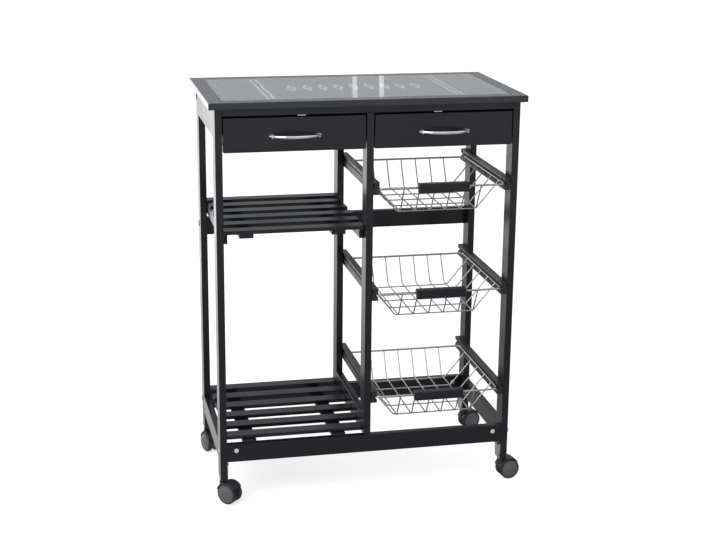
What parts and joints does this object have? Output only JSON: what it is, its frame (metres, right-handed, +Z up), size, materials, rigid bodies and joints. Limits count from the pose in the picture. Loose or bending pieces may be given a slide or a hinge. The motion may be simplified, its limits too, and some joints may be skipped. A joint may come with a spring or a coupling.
{
  "type": "kitchen cart",
  "caption": "Narrow black wooden kitchen cart on swivel casters, with a glass-inset top, side-by-side drawers, slatted shelves on the left and pull-out wire baskets on the right.",
  "frame": {"origin": "on the floor, at the middle of the whole cart's outline box; the middle of the wooden frame lies -11.1 mm along X and 10.5 mm along Y from it, because the casters are turned as in the picture and the pulls stand out in front", "axes": "+X to the cart's right as seen from the front, -Y to the front where the drawers open, +Z up"},
  "size_m": [0.6922, 0.381, 0.874],
  "materials": {
    "black_lacquered_wood": "black lacquer over solid wood, satin gloss, fine grain",
    "drawer_board": "plain pale wood, clear sealer",
    "beech": "bare hardwood",
    "printed_panel": "dark printed board with pale stripes and dots",
    "clear_glass": "clear tempered glass, ground edge",
    "chrome_pull": "polished chrome",
    "bright_wire": "bright plated steel wire",
    "bright_steel": "zinc plated steel",
    "black_screw_steel": "blackened steel screws",
    "zinc_plate": "zinc plated sheet steel",
    "black_runner_plastic": "black moulded plastic",
    "grey_wheel_plastic": "dark grey moulded nylon",
    "grey_hood_plastic": "dark grey moulded plastic"
  },
  "bodies": {
    "frame": {"front_left_post": "black_lacquered_wood", "front_right_post": "black_lacquered_wood", "back_left_post": "black_lacquered_wood", "back_right_post": "black_lacquered_wood", "front_middle_post": "black_lacquered_wood", "back_middle_post": "black_lacquered_wood", "front_bottom_rail": "black_lacquered_wood", "back_bottom_rail": "black_lacquered_wood", "back_cross_rail": "black_lacquered_wood", "back_top_rail": "black_lacquered_wood", "front_top_rail": "black_lacquered_wood", "left_bottom_rail": "black_lacquered_wood", "right_bottom_rail": "black_lacquered_wood", "middle_bottom_rail": "black_lacquered_wood", "left_top_rail": "black_lacquered_wood", "right_top_rail": "black_lacquered_wood", "middle_top_rail": "black_lacquered_wood", "top_border_boards": "black_lacquered_wood", "top_panel": "printed_panel", "top_glass": "clear_glass", "upper_shelf_slats": "black_lacquered_wood", "upper_shelf_battens": "black_lacquered_wood", "upper_shelf_rails": "black_lacquered_wood", "lower_shelf_slats": "black_lacquered_wood", "lower_shelf_battens": "black_lacquered_wood", "basket_runners": "black_runner_plastic", "caster_brackets": "zinc_plate", "drawer_slide_strips": "beech", "drawer_guide_plates": "zinc_plate", "frame_bolts": "bright_steel", "barrel_nuts": "bright_steel", "dowels": "beech", "caster_stems": "bright_steel", "wood_screws": "black_screw_steel"},
    "left_drawer": {"left_drawer_front": "black_lacquered_wood", "left_drawer_box": "drawer_board", "left_drawer_bottom": "drawer_board", "left_drawer_pull": "chrome_pull"},
    "right_drawer": {"right_drawer_front": "black_lacquered_wood", "right_drawer_box": "drawer_board", "right_drawer_bottom": "drawer_board", "right_drawer_pull": "chrome_pull"},
    "top_basket": {"top_basket_wires": "bright_wire", "top_basket_grip": "black_lacquered_wood"},
    "middle_basket": {"middle_basket_wires": "bright_wire", "middle_basket_grip": "black_lacquered_wood"},
    "bottom_basket": {"bottom_basket_wires": "bright_wire", "bottom_basket_grip": "black_lacquered_wood"},
    "front_left_caster": {"front_left_caster_body": "grey_hood_plastic"},
    "front_left_wheel_1": {"front_left_caster_wheel_1": "grey_wheel_plastic"},
    "front_left_wheel_2": {"front_left_caster_wheel_2": "grey_wheel_plastic"},
    "front_right_caster": {"front_right_caster_body": "grey_hood_plastic"},
    "front_right_wheel_1": {"front_right_caster_wheel_1": "grey_wheel_plastic"},
    "front_right_wheel_2": {"front_right_caster_wheel_2": "grey_wheel_plastic"},
    "back_left_caster": {"back_left_caster_body": "grey_hood_plastic"},
    "back_left_wheel_1": {"back_left_caster_wheel_1": "grey_wheel_plastic"},
    "back_left_wheel_2": {"back_left_caster_wheel_2": "grey_wheel_plastic"},
    "back_right_caster": {"back_right_caster_body": "grey_hood_plastic"},
    "back_right_wheel_1": {"back_right_caster_wheel_1": "grey_wheel_plastic"},
    "back_right_wheel_2": {"back_right_caster_wheel_2": "grey_wheel_plastic"}
  },
  "joints": [
    {"name": "left_drawer_slide", "type": "slide", "parent": "frame", "child": "left_drawer", "axis": [0, -1, 0], "range_m": [0, 0.22]},
    {"name": "right_drawer_slide", "type": "slide", "parent": "frame", "child": "right_drawer", "axis": [0, -1, 0], "range_m": [0, 0.22]},
    {"name": "top_basket_slide", "type": "slide", "parent": "frame", "child": "top_basket", "axis": [0, -1, 0], "range_m": [0, 0.22]},
    {"name": "middle_basket_slide", "type": "slide", "parent": "frame", "child": "middle_basket", "axis": [0, -1, 0], "range_m": [0, 0.22]},
    {"name": "bottom_basket_slide", "type": "slide", "parent": "frame", "child": "bottom_basket", "axis": [0, -1, 0], "range_m": [0, 0.22]},
    {"name": "front_left_swivel", "type": "hinge", "parent": "frame", "child": "front_left_caster", "pos_m": [-0.3256, -0.1395, 0.052], "axis": [0, 0, 1], "continuous": true},
    {"name": "front_left_wheel_1_roll", "type": "hinge", "parent": "front_left_caster", "child": "front_left_wheel_1", "pos_m": [-0.31301, -0.15166, 0.023], "axis": [0.6947, 0.7193, 0], "continuous": true},
    {"name": "front_left_wheel_2_roll", "type": "hinge", "parent": "front_left_caster", "child": "front_left_wheel_2", "pos_m": [-0.31301, -0.15166, 0.023], "axis": [0.6947, 0.7193, 0], "continuous": true},
    {"name": "front_right_swivel", "type": "hinge", "parent": "frame", "child": "front_right_caster", "pos_m": [0.3034, -0.1395, 0.052], "axis": [0, 0, 1], "continuous": true},
    {"name": "front_right_wheel_1_roll", "type": "hinge", "parent": "front_right_caster", "child": "front_right_wheel_1", "pos_m": [0.32069, -0.13676, 0.023], "axis": [-0.1564, 0.9877, 0], "continuous": true},
    {"name": "front_right_wheel_2_roll", "type": "hinge", "parent": "front_right_caster", "child": "front_right_wheel_2", "pos_m": [0.32069, -0.13676, 0.023], "axis": [-0.1564, 0.9877, 0], "continuous": true},
    {"name": "back_left_swivel", "type": "hinge", "parent": "frame", "child": "back_left_caster", "pos_m": [-0.3256, 0.1605, 0.052], "axis": [0, 0, 1], "continuous": true},
    {"name": "back_left_wheel_1_roll", "type": "hinge", "parent": "back_left_caster", "child": "back_left_wheel_1", "pos_m": [-0.31961, 0.14405, 0.023], "axis": [0.9397, 0.342, 0], "continuous": true},
    {"name": "back_left_wheel_2_roll", "type": "hinge", "parent": "back_left_caster", "child": "back_left_wheel_2", "pos_m": [-0.31961, 0.14405, 0.023], "axis": [0.9397, 0.342, 0], "continuous": true},
    {"name": "back_right_swivel", "type": "hinge", "parent": "frame", "child": "back_right_caster", "pos_m": [0.3034, 0.1605, 0.052], "axis": [0, 0, 1], "continuous": true},
    {"name": "back_right_wheel_1_roll", "type": "hinge", "parent": "back_right_caster", "child": "back_right_wheel_1", "pos_m": [0.32038, 0.16473, 0.023], "axis": [-0.2419, 0.9703, 0], "continuous": true},
    {"name": "back_right_wheel_2_roll", "type": "hinge", "parent": "back_right_caster", "child": "back_right_wheel_2", "pos_m": [0.32038, 0.16473, 0.023], "axis": [-0.2419, 0.9703, 0], "continuous": true}
  ]
}
